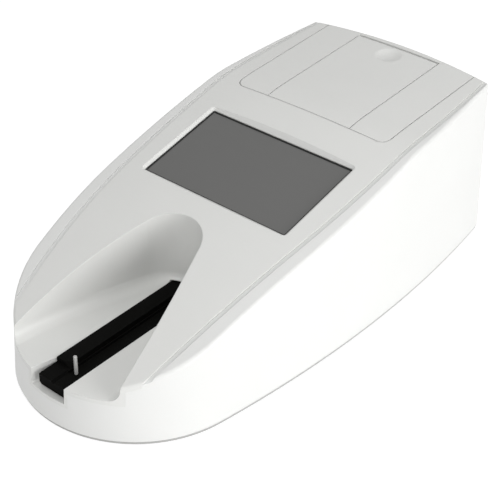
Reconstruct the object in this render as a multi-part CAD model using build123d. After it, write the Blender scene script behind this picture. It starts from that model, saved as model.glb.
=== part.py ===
from build123d import *
from math import asin, atan, cos, degrees, pi, radians, sin, sqrt, tan
import os

# A table-top urine test-strip analyzer. Millimetres, +Z up, nose at -Y, rear at +Y, +X to the user's right.
# Origin: centre of the footprint, on the table.

# ---- Outer form -------------------------------------------------------------------------------------
body_half_width = 75.0      # at the table
nose_y = -146.0             # front tip
rear_y = 145.8              # middle of the bowed rear wall
nose_radius = 65.0          # round nose in plan
widest_y = 34.0             # where the side arcs are widest
rear_radius = 450.0         # bow of the rear wall in plan
rear_corner = 3.0           # upright rear corners
wall_draft = 3.4            # walls lean in by this angle
wall = 2.5                  # moulded wall
crown_axis_z = -910.0       # the top is swept round this lengthwise axis
nose_top_y = -127.7         # a point on the front curve of the top
nose_top_z = 38.0
front_curve_y = -30.8       # the front curve ends and the screen slope begins
front_curve_z = 73.2
screen_tilt = 12.4          # slope of the screen field
bend_y = 49.2               # the screen slope ends here
bend_radius = 125.0
deck_tilt = 3.2             # slope of the printer deck
ridge_half_width = 62.0     # crease between the top and the shoulders
ridge_widest_y = 55.0
ridge_radius = 915.0
ridge_groove = 2.4          # groove along the crease, in the shell's edge
ridge_step = 0.8            # depth of that groove
edge_radius = 2.0           # soft edge between the walls and the top
ledge_width = 3.0           # support ledge under a cover edge
ledge_height = 2.2
top_reach = 135.0           # blanks are taller than the body by this level

# ---- Underside --------------------------------------------------------------------------------------
foot_height = 2.0
foot_radius = 7.0
foot_pocket = 0.5
foot_x = 46.0
foot_front_y = -96.0
foot_rear_y = 118.0
base_inset = 0.8
base_thick = 1.9
lip_height = 2.6
lip_thick = 1.8
slip = 0.15                 # named gap between parts that slip into one another
post_radius = 3.6
post_height = 26.0
post_bite = 0.9             # the posts sink this far into the wall
post_front_y = -52.0
post_rear_y = 104.0
screw_radius = 1.4
screw_head_radius = 2.7
screw_head_height = 1.2
screw_slot = 0.3            # half-width of the cross slot
screw_reach = 1.7           # its half-length
screw_slot_depth = 0.7
screw_length = 12.0
screw_play = 0.05
screw_cover = 2.0           # plastic left over a blind screw hole

# ---- Hand scoop, platform and tray slot --------------------------------------------------------------
scoop_apex_y = -42.8        # rear end of the rim
scoop_apex_radius = 19.0
scoop_spread = 18.6         # angle at which the apex arc meets the side
scoop_half_width = 37.0     # at the nose
scoop_front_y = -136.8
scoop_wall = 2.2
scoop_fillet = 6.0
platform_z = 27.0
platform_thick = 2.4
tray_half_width = 9.4
tray_side_gap = 0.5
trough_floor_z = 18.0
trough_wall = 2.0
slot_fillet = 1.0
flare_y = -129.6            # from here the slot opens out to the left
flare_x = -14.4             # left side of the slot at the nose
mouth_gap = 0.6             # over the tray where it enters the body
pin_gap = 1.4               # round the stop pin where it enters

# ---- Tray -------------------------------------------------------------------------------------------
tray_front_y = -141.8
tray_length = 162.0
tray_travel = 95.0
tray_bottom_z = 19.0
tray_deck_z = 25.2          # front tip and right lip
strip_floor_z = 24.0        # floor of the strip channel
bar_top_z = 28.0
bar_front_y = -129.8
bar_right_x = -0.4
bar_facet = 3.4
strip_width = 6.0
strip_x = 3.4               # middle of the strip channel
tip_notch_radius = 1.1
tray_chamfer = 1.2
pin_y = -129.3
pin_radius = 0.95
pin_top_z = 35.0
pin_depth = 3.0
pad_length = 7.0
pad_width = 4.6
pad_thick = 0.8
pad_y = -30.0

# ---- Tray drive -------------------------------------------------------------------------------------
rack_module = 0.8
rack_pinion_teeth = 16
rack_width = 6.0
rack_thick = 2.6
rack_front_y = -90.0
drive_y = 12.0
wheel_module = 0.6
wheel_teeth = 28
motor_teeth = 16
gear_face = 3.0
gear_play = 0.12            # extra centre distance of meshing gears
tooth_share = 0.42          # tooth thickness over pitch
addendum = 0.8              # tooth height over the pitch line, in modules
dedendum = 1.2              # and under it
pressure_angle = 20.0
axle_radius = 1.5
bearing_play = 0.05
wheel_x = -19.0
motor_axis_z = 16.0
motor_radius = 9.0
motor_length = 17.0
motor_shaft_radius = 0.9
motor_flange = 1.6
motor_chamfer = 0.8
motor_foot = 8.0            # foot of the motor's angle bracket
end_gap = 0.4               # between a gear and the wall beside it
shaft_in_motor = 4.0        # length of a motor shaft inside its can
guide_floor = 2.0
guide_wall = 2.0
guide_side_z = 24.0
guide_front_y = -38.0
guide_end_gap = 2.0
guide_leg = 6.0
sensor_width = 5.0
sensor_length = 6.0
sensor_height = 8.0

# ---- Screen -----------------------------------------------------------------------------------------
screen_y = 1.85             # middle of the window
window_width = 95.6
window_length = 58.0
window_corner = 0.8
screen_recess = 3.1         # glass below the middle of the top
window_bevel = 1.4          # slope round the window's rim
window_rim = 2.0            # rim under the top that the glass lies against
glass_margin = 4.2
glass_thick = 1.1
glass_side_gap = 0.4
gasket_thick = 0.3
gasket_width = 5.1          # shows as a black line round the glass
screen_boss_depth = 9.0
screen_boss_x = 40.0
screen_boss_radius = 2.6
screen_boss_gap = 0.6
bracket_thick = 1.2
bracket_width = 92.0
bracket_open = 10.0

# ---- Printer deck and paper lid ---------------------------------------------------------------------
deck_half_width = 51.5
deck_front_y = 53.3
deck_corner = 6.0
deck_seam = 0.4
deck_plate = 2.5
lid_half_width = 28.0
lid_rear_y = 139.6
lid_seam = 0.4
paper_slot = 1.5            # open slot behind the lid
lid_rest_gap = 0.3
lid_rest_width = 2.6
lid_rest_height = 1.8
lid_pin_radius = 0.6
lid_pin_length = 6.0
hinge_back = 2.6            # hinge axis behind the lid's front edge
hinge_depth = 1.35          # and under the top
dimple_radius = 7.6
dimple_depth = 1.3
dimple_blend = 4.0          # its rim runs softly into the lid
dimple_y = 129.0

# ---- Printer ----------------------------------------------------------------------------------------
platen_y = 131.0
platen_z = 86.0
platen_radius = 4.5
platen_half_length = 20.6
platen_shaft_radius = 1.2
ear_thick = 1.4
ear_radius = 3.4
printer_module = 0.5
platen_teeth = 24
printer_teeth = 32
printer_gear_face = 1.7
printer_gear_angle = 262.0  # direction from the platen to the motor, from +Y towards +Z
printer_motor_radius = 7.0
printer_motor_length = 13.0
cheek_thick = 1.4
cheek_x = 25.8
frame_front_y = 111.4
frame_floor_z = 61.8
head_thick = 2.0
head_width = 7.0
head_gap = 0.3
sink_thick = 2.2
bucket_half_width = 26.6
bucket_wall = 1.4
bucket_front_y = 64.0
bucket_rear_y = 111.2
bucket_floor_z = 48.0
bucket_corner = 15.0
roll_radius = 19.0
roll_half_length = 24.5
core_radius = 6.5
core_bore = 5.0
roll_y = 87.6
roll_lift = 0.3
spindle_play = 0.08
spindle_stub = 5.0

# ---- Boards, optics and rear sockets ----------------------------------------------------------------
board_thick = 1.6
board_z = 8.0
board_left_x = 18.0
board_right_x = 57.0
board_front_y = -62.0
board_rear_y = 98.0
standoff_radius = 2.8
standoff_inset = 4.0
chip_plan = (               # x, y, width, length, height
    (33, -20, 14, 14, 1.5),
    (33, 6, 9, 15, 1.2),
    (47, -22, 6, 8, 1.6),
    (30, 40, 10, 12, 1.4),
    (46, 44, 8, 5, 1.8),
    (34, 68, 16, 7, 3.6),
    (45, 8, 5, 20, 4.2),
    (31, -44, 20, 5, 3.2),
)
capacitor_plan = (          # x, y, radius, height
    (48, 74, 4, 11),
    (48, 84, 4, 11),
    (26, 84, 3, 7),
    (50, -44, 3, 6),
)
optic_half_width = 17.0
optic_front_y = -27.0
optic_rear_y = 13.0
optic_top_z = 60.0
optic_wall = 2.0
optic_lift = 2.6            # over the tray
optic_shelf_z = 40.0
lens_radius = 5.0
lens_height = 8.0
lens_wall = 1.2
lens_thick = 2.0
lamp_count = 4
lamp_size = 2.0
lamp_height = 1.2
io_left_x = -28.0
io_right_x = 54.0
io_front_y = 122.0
panel_y = 141.4             # flat socket panel in the rear wall
panel_half_width = 55.0
panel_low_z = 9.0
panel_high_z = 33.0
socket_gap = 0.25
switch_x = -42.0
switch_z = 21.0
switch_width = 14.0
switch_height = 19.0
switch_depth = 16.0
switch_bezel = 1.6
rocker_angle = 9.0
jack_x = 41.0
serial_x = 14.0
keyboard_x = -14.0
jack_width = 9.4
jack_height = 11.0
jack_depth = 13.5
jack_radius = 3.2
jack_pin_radius = 1.0
serial_width = 30.8
serial_height = 12.5
serial_depth = 12.0
serial_half = 8.2           # D-shaped well at its wide side
serial_tall = 4.1
serial_lean = 1.3
serial_pitch = 2.8
serial_pin_radius = 0.5
keyboard_width = 14.0
keyboard_height = 13.0
keyboard_radius = 4.8
bezel_out = 1.4
rocker_pivot = 6.0          # rocker pivot behind the panel
rocker_play = 0.3


# ---- Shared geometry --------------------------------------------------------------------------------
def box(low_x, high_x, low_y, high_y, low_z, high_z):
    middle = Pos((low_x + high_x) / 2, (low_y + high_y) / 2, (low_z + high_z) / 2)
    return middle * Box(high_x - low_x, high_y - low_y, high_z - low_z)


def upright(radius, x, y, low_z, high_z):
    return Pos(x, y, (low_z + high_z) / 2) * Cylinder(radius, high_z - low_z)


def crosswise(radius, low_x, high_x, y, z):
    return Pos((low_x + high_x) / 2, y, z) * Rot(0, 90, 0) * Cylinder(radius, high_x - low_x)


def lengthwise(radius, x, low_y, high_y, z):
    return Pos(x, (low_y + high_y) / 2, z) * Rot(90, 0, 0) * Cylinder(radius, high_y - low_y)


def prism(face, low_z, high_z):
    return Pos(0, 0, low_z) * extrude(face, high_z - low_z)


slope = tan(radians(screen_tilt))
nose_centre_y = nose_y + nose_radius
reach_y = rear_y + 25
nose_run = widest_y - nose_centre_y
width_step = body_half_width - nose_radius
side_radius = (body_half_width ** 2 - nose_radius ** 2 + nose_run ** 2) / (2 * width_step)
side_centre_x = body_half_width - side_radius


def outline(inset, level):
    """Plan of the body at a height: round nose and two long side arcs, open past the rear."""
    tuck = inset + level * tan(radians(wall_draft))
    span = sqrt(side_centre_x ** 2 + nose_run ** 2)
    join_x = -side_centre_x / span * (nose_radius - tuck)
    join_y = nose_centre_y - nose_run / span * (nose_radius - tuck)
    arc = side_radius - tuck
    middle_y = (join_y + reach_y) / 2
    middle_x = side_centre_x + sqrt(arc ** 2 - (middle_y - widest_y) ** 2)
    end_x = side_centre_x + sqrt(arc ** 2 - (reach_y - widest_y) ** 2)
    edges = [
        ThreePointArc((-join_x, join_y), (0, nose_y + tuck), (join_x, join_y)),
        ThreePointArc((join_x, join_y), (middle_x, middle_y), (end_x, reach_y)),
        Line((end_x, reach_y), (-end_x, reach_y)),
        ThreePointArc((-end_x, reach_y), (-middle_x, middle_y), (-join_x, join_y)),
    ]
    return Pos(0, 0, level) * make_face(edges)


def rear_limit(inset, low_z, high_z):
    """Everything in front of the bowed rear wall."""
    side = 2 * body_half_width
    arc = rear_radius - inset
    middle_y = rear_y - inset
    side_y = middle_y - arc + sqrt(arc ** 2 - side ** 2)
    front = nose_y - side
    edges = [
        Line((-side, front), (side, front)),
        Line((side, front), (side, side_y)),
        ThreePointArc((side, side_y), (0, middle_y), (-side, side_y)),
        Line((-side, side_y), (-side, front)),
    ]
    return prism(make_face(edges), low_z, high_z)


def blank(inset, low_z, high_z):
    """Drafted body between two heights, all its walls moved in by the inset."""
    body = loft([outline(inset, low_z), outline(inset, high_z)], ruled=True)
    body = body & rear_limit(inset, low_z, high_z)
    tall = [e for e in body.edges() if abs(e.center().X) > body_half_width / 2 and e.center().Y > rear_y / 2]
    tall = [e for e in tall if e.bounding_box().size.Z > 0.9 * (high_z - low_z)]
    return fillet(tall, max(rear_corner - inset, 0.4))


def front_circle():
    """Circle through the nose point that meets the screen slope without a kink."""
    run = nose_top_y - front_curve_y
    rise = nose_top_z - front_curve_z
    across = run * sin(radians(screen_tilt)) - rise * cos(radians(screen_tilt))
    radius = (run ** 2 + rise ** 2) / (2 * across)
    centre_y = front_curve_y + radius * sin(radians(screen_tilt))
    centre_z = front_curve_z - radius * cos(radians(screen_tilt))
    return centre_y, centre_z, radius


front_y, front_z, front_radius = front_circle()
bend_z = front_curve_z + (bend_y - front_curve_y) * slope
bend_end_y = bend_y + bend_radius * (sin(radians(screen_tilt)) - sin(radians(deck_tilt)))
bend_end_z = bend_z + bend_radius * (cos(radians(deck_tilt)) - cos(radians(screen_tilt)))


def top_height(y):
    """Height of the top along the middle of the body."""
    if y < front_curve_y:
        return front_z + sqrt(front_radius ** 2 - (y - front_y) ** 2)
    if y < bend_y:
        return front_curve_z + (y - front_curve_y) * slope
    if y < bend_end_y:
        centre_y = bend_y + bend_radius * sin(radians(screen_tilt))
        centre_z = bend_z - bend_radius * cos(radians(screen_tilt))
        return centre_z + sqrt(bend_radius ** 2 - (y - centre_y) ** 2)
    return bend_end_z + (y - bend_end_y) * tan(radians(deck_tilt))


def crown_block():
    """All the space over the top surface, a body of revolution about the lengthwise crown axis."""
    start_y = nose_y - 20
    middle_y = (start_y + front_curve_y) / 2
    bend_middle_y = (bend_y + bend_end_y) / 2
    roof = 2 * top_reach
    knots = [
        Vector(0, start_y, top_height(start_y)),
        Vector(0, middle_y, top_height(middle_y)),
        Vector(0, front_curve_y, front_curve_z),
        Vector(0, bend_y, bend_z),
        Vector(0, bend_middle_y, top_height(bend_middle_y)),
        Vector(0, bend_end_y, bend_end_z),
        Vector(0, reach_y, top_height(reach_y)),
        Vector(0, reach_y, roof),
        Vector(0, start_y, roof),
    ]
    edges = [
        Edge.make_three_point_arc(knots[0], knots[1], knots[2]),
        Edge.make_line(knots[2], knots[3]),
        Edge.make_three_point_arc(knots[3], knots[4], knots[5]),
        Edge.make_line(knots[5], knots[6]),
        Edge.make_line(knots[6], knots[7]),
        Edge.make_line(knots[7], knots[8]),
        Edge.make_line(knots[8], knots[0]),
    ]
    axis = Axis((0, 0, crown_axis_z), (0, 1, 0))
    half_turn = degrees(asin(1.6 * body_half_width / (nose_top_z - crown_axis_z)))
    face = Face(Wire(edges)).rotate(axis, -half_turn)
    return revolve(face, axis, 2 * half_turn)


sky = crown_block()


def over(drop):
    """Space over the top surface lowered by the drop."""
    return Pos(0, 0, -drop) * sky


def layer(solid, upper, lower):
    """Part of a solid between two depths under the top."""
    return (solid & over(lower)) - over(upper)


def ridge_plan(inset):
    """Plan inside the crease."""
    arc = ridge_radius - inset
    centre_x = ridge_half_width - ridge_radius
    low_y = nose_y - 15
    low_x = centre_x + sqrt(arc ** 2 - (low_y - ridge_widest_y) ** 2)
    high_x = centre_x + sqrt(arc ** 2 - (reach_y - ridge_widest_y) ** 2)
    widest_x = ridge_half_width - inset
    edges = [
        Line((-low_x, low_y), (low_x, low_y)),
        ThreePointArc((low_x, low_y), (widest_x, ridge_widest_y), (high_x, reach_y)),
        Line((high_x, reach_y), (-high_x, reach_y)),
        ThreePointArc((-high_x, reach_y), (-widest_x, ridge_widest_y), (-low_x, low_y)),
    ]
    return make_face(edges)


def scoop_plan(grow):
    """Plan of the hand scoop: a round apex and two gently bowed sides, open past the nose."""
    centre_y = scoop_apex_y - scoop_apex_radius
    arc = scoop_apex_radius + grow
    turn = radians(scoop_spread)
    start = Vector(arc * cos(turn), centre_y + arc * sin(turn))
    end = Vector(scoop_half_width + grow, scoop_front_y)
    chord = end - start
    heading = atan(chord.X / -chord.Y)
    sag = chord.length / 2 * tan((turn - heading) / 2)
    middle = (start + end) / 2 + Vector(cos(heading), sin(heading)) * sag
    tail = Vector(end.X + 20 * tan(2 * heading - turn), end.Y - 20)
    edges = [
        ThreePointArc((-start.X, start.Y), (0, centre_y + arc), (start.X, start.Y)),
        ThreePointArc((start.X, start.Y), (middle.X, middle.Y), (end.X, end.Y)),
        Line((end.X, end.Y), (tail.X, tail.Y)),
        Line((tail.X, tail.Y), (-tail.X, tail.Y)),
        Line((-tail.X, tail.Y), (-end.X, end.Y)),
        ThreePointArc((-end.X, end.Y), (-middle.X, middle.Y), (-start.X, start.Y)),
    ]
    return make_face(edges)


def deck_plan(grow):
    """Plan of the printer deck opening, with round front corners, open past the rear."""
    low_y = deck_front_y - grow
    face = Pos(0, (low_y + reach_y) / 2) * Rectangle(2 * (deck_half_width + grow), reach_y - low_y)
    corners = [v for v in face.vertices() if v.Y < low_y + 1]
    return fillet(corners, deck_corner + grow)


def toothed(module, teeth, face_width, bore, tooth_at):
    """Spur gear on the X axis; a tooth points along tooth_at, in degrees from +Y towards +Z."""
    pitch_radius = module * teeth / 2
    outer = pitch_radius + addendum * module
    root = pitch_radius - dedendum * module
    half = tooth_share * pi / teeth
    flank = tan(radians(pressure_angle))
    outer_half = half - addendum * module * flank / outer
    root_half = half + dedendum * module * flank / root
    corners = ((root, -root_half), (outer, -outer_half), (outer, outer_half), (root, root_half))
    points = []
    for tooth in range(teeth):
        middle = radians(tooth_at) + 2 * pi * tooth / teeth
        for radius, angle in corners:
            points.append(Vector(0, radius * cos(middle + angle), radius * sin(middle + angle)))
    face = Face(Wire.make_polygon(points, close=True))
    gear = extrude(face, face_width / 2, dir=(1, 0, 0), both=True)
    return gear - crosswise(bore, -face_width, face_width, 0, 0)


os.makedirs("parts", exist_ok=True)

# ---- Levels that follow from the sizes ---------------------------------------------------------------
base_low_z = foot_height - foot_pocket
base_top_z = base_low_z + base_thick
shell_low_z = base_top_z
ceiling = wall + ledge_height
trough_half = tray_half_width + tray_side_gap
trough_low_z = trough_floor_z - trough_wall
outer_body = blank(0, base_low_z, top_reach)
inner_body = blank(wall, base_low_z, top_reach)
ridge_column = prism(ridge_plan(0), base_low_z, top_reach)

# ---- Tray slot shared by the cover and the shell -----------------------------------------------------
lead_y = nose_y - 10
lead_x = -trough_half + (flare_x + trough_half) * (flare_y - lead_y) / (flare_y - nose_y)


def slot_plan(grow):
    """Plan of the tray slot, flared to the left at the nose."""
    left = -trough_half - grow
    right = trough_half + grow
    rear = scoop_apex_y + scoop_wall + 4
    nose_left = lead_x - grow
    corners = [(right, lead_y), (right, rear), (left, rear), (left, flare_y), (nose_left, lead_y)]
    return make_face(Polyline(*corners, close=True))


slot = prism(slot_plan(0), trough_floor_z, top_reach)
slot_left = [e for e in slot.edges() if e.center().X < -trough_half - 0.1 and e.center().Y > lead_y + 1]
slot = fillet([e for e in slot_left if e.center().Z < trough_floor_z + 0.1], slot_fillet)
trough_block = prism(slot_plan(trough_wall), trough_low_z, platform_z - platform_thick / 2)
trough_block = (trough_block & outer_body) - box(-50, 50, scoop_apex_y + scoop_wall, 200, 0, 99)


# ---- Outer form with a soft edge between its walls and its top -----------------------------------------
soft_body = outer_body - over(0)
rim = []
for edge in soft_body.edges():
    middle = edge.position_at(0.5)
    reach = sqrt(middle.X ** 2 + (middle.Z - crown_axis_z) ** 2)
    on_top = abs(reach + crown_axis_z - top_height(middle.Y)) < 0.05
    on_seam = min(abs(middle.Y - y) for y in (front_curve_y, bend_y, bend_end_y)) < 0.05
    if on_top and not on_seam:
        rim.append(edge)
soft_body = fillet(rim, edge_radius)

# ---- Side shell --------------------------------------------------------------------------------------
side_shell = soft_body - box(-200, 200, -200, 200, 0, shell_low_z)
side_shell -= prism(ridge_plan(-ridge_groove), base_low_z, top_reach) & over(ridge_step)
side_shell -= inner_body - over(ceiling)
side_shell -= ridge_column & over(deck_plate)
side_shell -= prism(ridge_plan(ledge_width), base_low_z, top_reach) & inner_body
scoop_block = prism(scoop_plan(scoop_wall), platform_z - platform_thick, top_reach)
side_shell -= scoop_block
side_shell -= trough_block
side_shell -= slot


def inner_half_width(y, level):
    """Inside of the side wall."""
    tuck = wall + level * tan(radians(wall_draft))
    return side_centre_x + sqrt((side_radius - tuck) ** 2 - (y - widest_y) ** 2)


posts = []
bore_top_z = base_low_z + screw_head_height + screw_length
for post_y in (post_front_y, post_rear_y):
    post_x = inner_half_width(post_y, shell_low_z) - post_radius + post_bite
    posts += [(-post_x, post_y), (post_x, post_y)]
for post_x, post_y in posts:
    bore = upright(screw_radius + screw_play, post_x, post_y, 0, bore_top_z)
    side_shell += upright(post_radius, post_x, post_y, shell_low_z, shell_low_z + post_height) & outer_body
    side_shell -= bore

# Flat socket panel let into the bowed rear wall.
panel_side = panel_half_width + wall
panel_block = box(-panel_side, panel_side, panel_y - wall, rear_y, panel_low_z - wall, panel_high_z + wall)
side_shell += panel_block & outer_body
side_shell -= box(-panel_half_width, panel_half_width, panel_y, rear_y + 10, panel_low_z, panel_high_z)

# ---- Top cover ---------------------------------------------------------------------------------------
cover_blank = soft_body & ridge_column
top_cover = cover_blank & over(deck_plate)
pocket = prism(scoop_plan(0), platform_z, top_reach)
pocket_floor = [e for e in pocket.edges() if abs(e.center().Z - platform_z) < 0.01]
pocket = fillet([e for e in pocket_floor if e.center().Y > scoop_front_y - 15], scoop_fillet)
top_cover += scoop_block & cover_blank
top_cover -= pocket
top_cover += trough_block
top_cover -= slot & box(-50, 50, -200, scoop_apex_y - 5, 0, top_reach)
mouth_y = scoop_apex_y - scoop_apex_radius
top_cover -= box(-trough_half, trough_half, mouth_y, guide_front_y, trough_floor_z, bar_top_z + mouth_gap)
pin_side = pin_radius + pin_gap
pin_way = (strip_x - pin_side, strip_x + pin_side, mouth_y, guide_front_y)
top_cover -= box(*pin_way, trough_floor_z, pin_top_z + pin_gap)

# Printer opening and its ledge.
top_cover -= prism(deck_plan(0), base_low_z, top_reach) & over(deck_plate)
deck_ledge = prism(deck_plan(ledge_width / 2), platform_z, top_reach)
deck_ledge -= prism(deck_plan(-ledge_width), platform_z, top_reach)
deck_ledge = deck_ledge & blank(wall + slip, base_low_z, top_reach)
top_cover += layer(deck_ledge, deck_plate, deck_plate + ledge_height)

# Screen window, glass pocket and bosses, all square to the screen slope.
screen_place = Pos(0, screen_y, top_height(screen_y)) * Rot(screen_tilt, 0, 0)
glass_width = window_width + 2 * glass_margin
glass_length = window_length + 2 * glass_margin
screen_boss_y = glass_length / 2 + glass_side_gap + screen_boss_gap + screen_boss_radius


crown_drop = window_width ** 2 / 8 / (top_height(screen_y) - crown_axis_z)


def screen_slab(width, length, high, low, corner):
    """A slab square to the screen slope between two depths under its middle."""
    face = RectangleRounded(width, length, corner) if corner else Rectangle(width, length)
    return screen_place * Pos(0, 0, -low) * extrude(face, low - high)


def screen_pins(radius, high, low):
    pins = []
    for x in (-screen_boss_x, screen_boss_x):
        for y in (-screen_boss_y, screen_boss_y):
            pins.append(screen_place * Pos(x, y, -(high + low) / 2) * Cylinder(radius, low - high))
    return pins


for boss in screen_pins(screen_boss_radius, deck_plate / 2, screen_boss_depth):
    top_cover += boss
pocket_width = glass_width + 2 * glass_side_gap
pocket_length = glass_length + 2 * glass_side_gap
rim_width = pocket_width + 2 * window_rim
rim_length = pocket_length + 2 * window_rim
top_cover += screen_slab(rim_width, rim_length, -5, screen_recess + window_rim, 0) & cover_blank
top_cover -= screen_slab(window_width, window_length, -5, screen_boss_depth, window_corner)
bevel_depth = crown_drop + window_bevel
bevel_top = 5
bevel_face = RectangleRounded(window_width, window_length, window_corner)
bevel = extrude(bevel_face, bevel_top + bevel_depth, taper=-45)
top_cover -= screen_place * Pos(0, 0, -bevel_depth) * bevel
top_cover -= screen_slab(pocket_width, pocket_length, screen_recess, screen_boss_depth, 0)
screw_end = screen_recess + screw_cover
for bore in screen_pins(screw_radius + screw_play, screw_end, screen_boss_depth + 1):
    top_cover -= bore


# ---- Base plate, feet and base screws ----------------------------------------------------------------
lip_top_z = base_top_z + lip_height
base_plate = blank(base_inset, base_low_z, base_top_z)
base_lip = blank(wall + slip, base_top_z, lip_top_z) - blank(wall + slip + lip_thick, base_top_z, lip_top_z)
for post_x, post_y in posts:
    base_lip -= upright(post_radius + slip, post_x, post_y, base_low_z, lip_top_z)
base_plate += base_lip
feet = []
for foot_y in (foot_front_y, foot_rear_y):
    for side in (-1, 1):
        base_plate -= upright(foot_radius, side * foot_x, foot_y, 0, foot_height)
        foot = upright(foot_radius, side * foot_x, foot_y, 0, foot_height)
        feet.append(chamfer(foot.edges().sort_by(Axis.Z)[0], 0.5))
screw_seat_z = base_low_z + screw_head_height
base_screws = []
for post_x, post_y in posts:
    base_plate -= upright(screw_radius + screw_play, post_x, post_y, 0, lip_top_z)
    base_plate -= upright(screw_head_radius + screw_play, post_x, post_y, 0, screw_seat_z)
    head = upright(screw_head_radius, post_x, post_y, base_low_z, screw_seat_z)
    screw = head + upright(screw_radius, post_x, post_y, base_low_z, screw_seat_z + screw_length - slip)
    for across, along in ((screw_slot, screw_reach), (screw_reach, screw_slot)):
        screw -= Pos(post_x, post_y, base_low_z) * Box(2 * across, 2 * along, 2 * screw_slot_depth)
    base_screws.append(screw)

# ---- Screen stack ------------------------------------------------------------------------------------
glass_high = screen_recess + gasket_thick
module_high = glass_high + glass_thick
bracket_low = screen_boss_depth + bracket_thick
gasket_in = 2 * gasket_width
display_gasket = screen_slab(glass_width, glass_length, screen_recess, glass_high, 0)
display_gasket -= screen_slab(glass_width - gasket_in, glass_length - gasket_in, -5, bracket_low, 0)
touch_screen = screen_slab(glass_width, glass_length, glass_high, module_high, 0)
display_module = screen_slab(glass_width, glass_length, module_high, screen_boss_depth, 0)
bracket_length = 2 * (screen_boss_y + screen_boss_radius)
display_bracket = screen_slab(bracket_width, bracket_length, screen_boss_depth, bracket_low, 2)
open_width = bracket_width - 2 * bracket_open
open_length = glass_length - 2 * bracket_open
display_bracket -= screen_slab(open_width, open_length, 0, bracket_low + 1, 4)
for bore in screen_pins(screw_radius + screw_play, 0, bracket_low + 1):
    display_bracket -= bore
shanks = screen_pins(screw_radius, screw_end + slip, bracket_low)
heads = screen_pins(screw_head_radius, bracket_low, bracket_low + screw_head_height)
display_screws = [shank + head for shank, head in zip(shanks, heads)]

# ---- Tray --------------------------------------------------------------------------------------------
tray_rear_y = tray_front_y + tray_length
rack_pitch_z = tray_bottom_z + addendum * rack_module
rack_top_z = tray_bottom_z + rack_thick
tray = box(-tray_half_width, tray_half_width, tray_front_y, tray_rear_y, tray_bottom_z, tray_deck_z)
tray += box(-tray_half_width, bar_right_x, bar_front_y, tray_rear_y, tray_bottom_z, bar_top_z)
keel = [e for e in tray.edges().filter_by(Axis.Y) if e.center().Z < tray_bottom_z + 0.01]
tray = chamfer(keel, tray_chamfer)
facet_corner = Vector(bar_right_x, bar_front_y, bar_top_z)
facet_normal = Vector(1, -1, 1).normalized()
facet_plane = Plane(origin=facet_corner - facet_normal * (bar_facet / sqrt(3)), z_dir=facet_normal)
facet_ends = (bar_front_y - 1, bar_front_y + bar_facet)
facet_zone = box(bar_right_x - bar_facet, bar_right_x + 1, *facet_ends, tray_deck_z, bar_top_z)
tray -= facet_plane * Pos(0, 0, 10) * Box(20, 20, 20) & facet_zone
channel_front_y = pin_y - pin_radius - 2
channel_low_x = strip_x - strip_width / 2
channel_high_x = strip_x + strip_width / 2
tray -= box(channel_low_x, channel_high_x, channel_front_y, tray_rear_y + 1, strip_floor_z, bar_top_z)
tray -= lengthwise(tip_notch_radius, channel_low_x, tray_front_y - 1, channel_front_y + 1, tray_deck_z)
tray -= box(-rack_width / 2, rack_width / 2, rack_front_y, tray_rear_y + 1, 0, rack_top_z)
pin_low_z = strip_floor_z - pin_depth
tray -= upright(pin_radius, strip_x, pin_y, pin_low_z, bar_top_z)
pad_low_z = strip_floor_z - pad_thick * 0.75
pad_box = (strip_x - pad_width / 2, strip_x + pad_width / 2, pad_y - pad_length / 2, pad_y + pad_length / 2)
tray -= box(*pad_box, pad_low_z, bar_top_z)
stop_pin = upright(pin_radius, strip_x, pin_y, pin_low_z, pin_top_z)
stop_pin = fillet(stop_pin.edges().sort_by(Axis.Z)[-1], pin_radius / 2)
reference_pad = box(*pad_box, pad_low_z, pad_low_z + pad_thick)


def rack_teeth():
    """Downward teeth, with a gap over the pinion when the tray is out."""
    pitch = pi * rack_module
    flank = tan(radians(pressure_angle))
    half = tooth_share * pitch / 2
    tip_half = half - addendum * rack_module * flank
    root_half = half + dedendum * rack_module * flank
    root_z = rack_pitch_z + dedendum * rack_module
    first = int((rack_front_y - drive_y) / pitch) + 1
    last = int((tray_rear_y - drive_y) / pitch) - 1
    points = [(rack_front_y, rack_top_z), (rack_front_y, root_z)]
    for tooth in range(first, last):
        middle = drive_y + (tooth + 0.5) * pitch
        points += [(middle - root_half, root_z), (middle - tip_half, tray_bottom_z)]
        points += [(middle + tip_half, tray_bottom_z), (middle + root_half, root_z)]
    points += [(tray_rear_y, root_z), (tray_rear_y, rack_top_z)]
    face = Face(Wire.make_polygon([Vector(0, y, z) for y, z in points], close=True))
    return extrude(face, rack_width / 2, dir=(1, 0, 0), both=True)


tray_rack = rack_teeth()

# ---- Tray guide and drive ----------------------------------------------------------------------------
rack_pinion_radius = rack_module * rack_pinion_teeth / 2
drive_z = rack_pitch_z - rack_pinion_radius - gear_play
guide_rear_y = tray_rear_y + tray_travel + guide_end_gap
guide_half = trough_half + guide_wall
guide_low_z = trough_floor_z - guide_floor
pinion_face = rack_width - 1
window_x = pinion_face / 2 + 0.8
window_y = rack_pinion_radius + rack_module + 0.6
tray_guide = box(-guide_half, guide_half, guide_front_y, guide_rear_y + guide_wall, guide_low_z, guide_side_z)
guide_room = (-trough_half, trough_half, guide_front_y - 1, guide_rear_y)
tray_guide -= box(*guide_room, trough_floor_z, guide_side_z + 1)
tray_guide -= box(-window_x, window_x, drive_y - window_y, drive_y + window_y, 0, trough_floor_z + 1)
leg_front_y = guide_front_y + 2
leg_rear_y = guide_rear_y - 2 * guide_leg
guide_legs = [
    (leg_front_y, leg_front_y + guide_leg),
    (drive_y - guide_leg, drive_y + guide_leg),
    (leg_rear_y, leg_rear_y + guide_leg),
]
for side in (-1, 1):
    near = side * trough_half
    far = side * guide_half
    for leg_y, leg_end_y in guide_legs:
        tray_guide += box(min(near, far), max(near, far), leg_y, leg_end_y, base_top_z, guide_low_z + 1)
tray_guide -= crosswise(axle_radius + bearing_play, -50, 50, drive_y, drive_z)
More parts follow.
